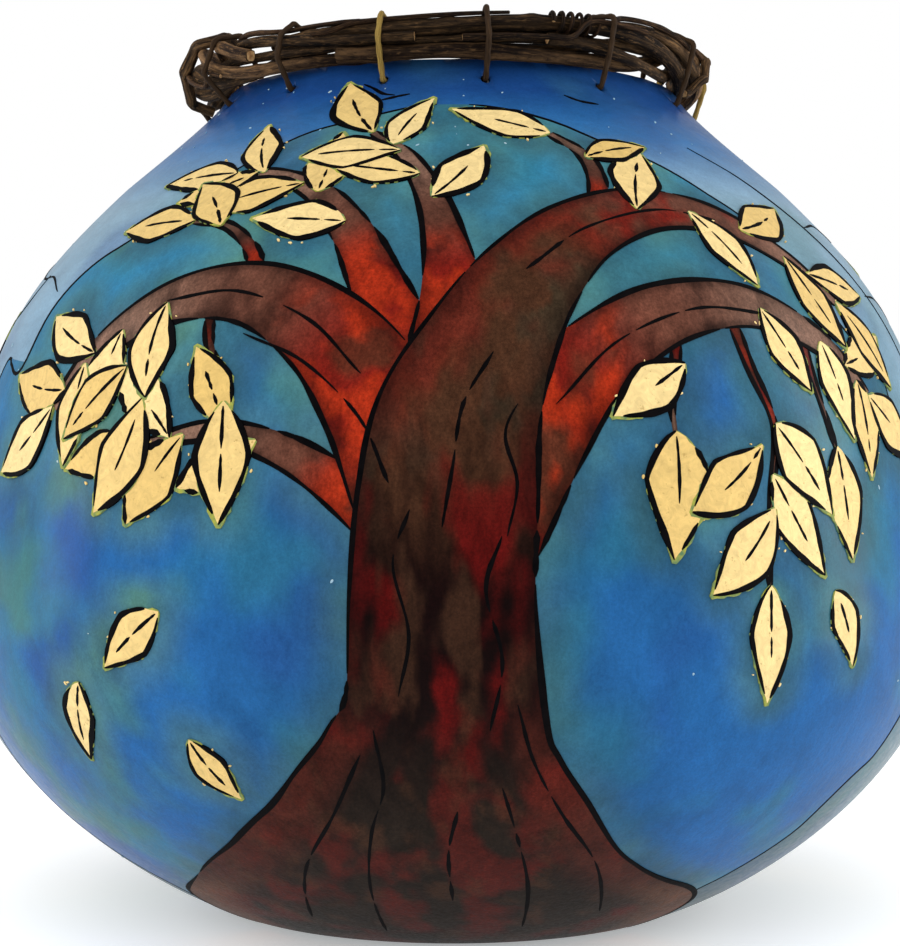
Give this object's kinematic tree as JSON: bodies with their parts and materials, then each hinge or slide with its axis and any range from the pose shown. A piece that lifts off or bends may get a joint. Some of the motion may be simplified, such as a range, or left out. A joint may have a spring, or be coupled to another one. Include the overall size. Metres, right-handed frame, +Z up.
{
  "type": "dried bottle gourd vessel",
  "caption": "Hollow dried gourd with its top cut off, painted outside, with a rim of twisted vines tied round the open mouth.",
  "frame": {"origin": "middle of the flat foot, on the surface that the gourd stands on", "axes": "+Z up through the open mouth, -Y towards the front of the painted panel, +X to its right as seen from the front"},
  "size_m": [0.2814, 0.283, 0.2495],
  "materials": {
    "painted_gourd": "acrylic paint under a gloss varnish on dried gourd",
    "raw_gourd": "raw dried gourd, matt and fibrous",
    "bark_paint": "dark red and brown brushed paint, gloss varnish",
    "gold_leaf": "beaten gold-coloured leaf, wrinkled, varnished",
    "black_line": "black brush line under varnish",
    "vine_bark": "dry ridged bark",
    "tie_fibre": "twisted dry plant fibre"
  },
  "bodies": {
    "root": {"gourd_shell": "painted_gourd", "vine_lower": "vine_bark", "vine_middle": "vine_bark", "vine_top": "vine_bark", "vine_inner_top": "vine_bark", "vine_inner_lower": "vine_bark", "vine_core": "vine_bark", "curl_left": "vine_bark", "curl_right": "vine_bark", "tendril_front": "vine_bark", "tendril_back": "vine_bark", "tie_01": "tie_fibre", "tie_02": "tie_fibre", "tie_03": "tie_fibre", "tie_04": "tie_fibre", "tie_05": "tie_fibre", "tie_06": "tie_fibre", "tie_07": "tie_fibre", "tie_08": "tie_fibre", "tie_09": "tie_fibre", "tie_10": "tie_fibre", "tie_11": "tie_fibre", "tie_12": "tie_fibre", "tie_13": "tie_fibre"}
  },
  "joints": []
}
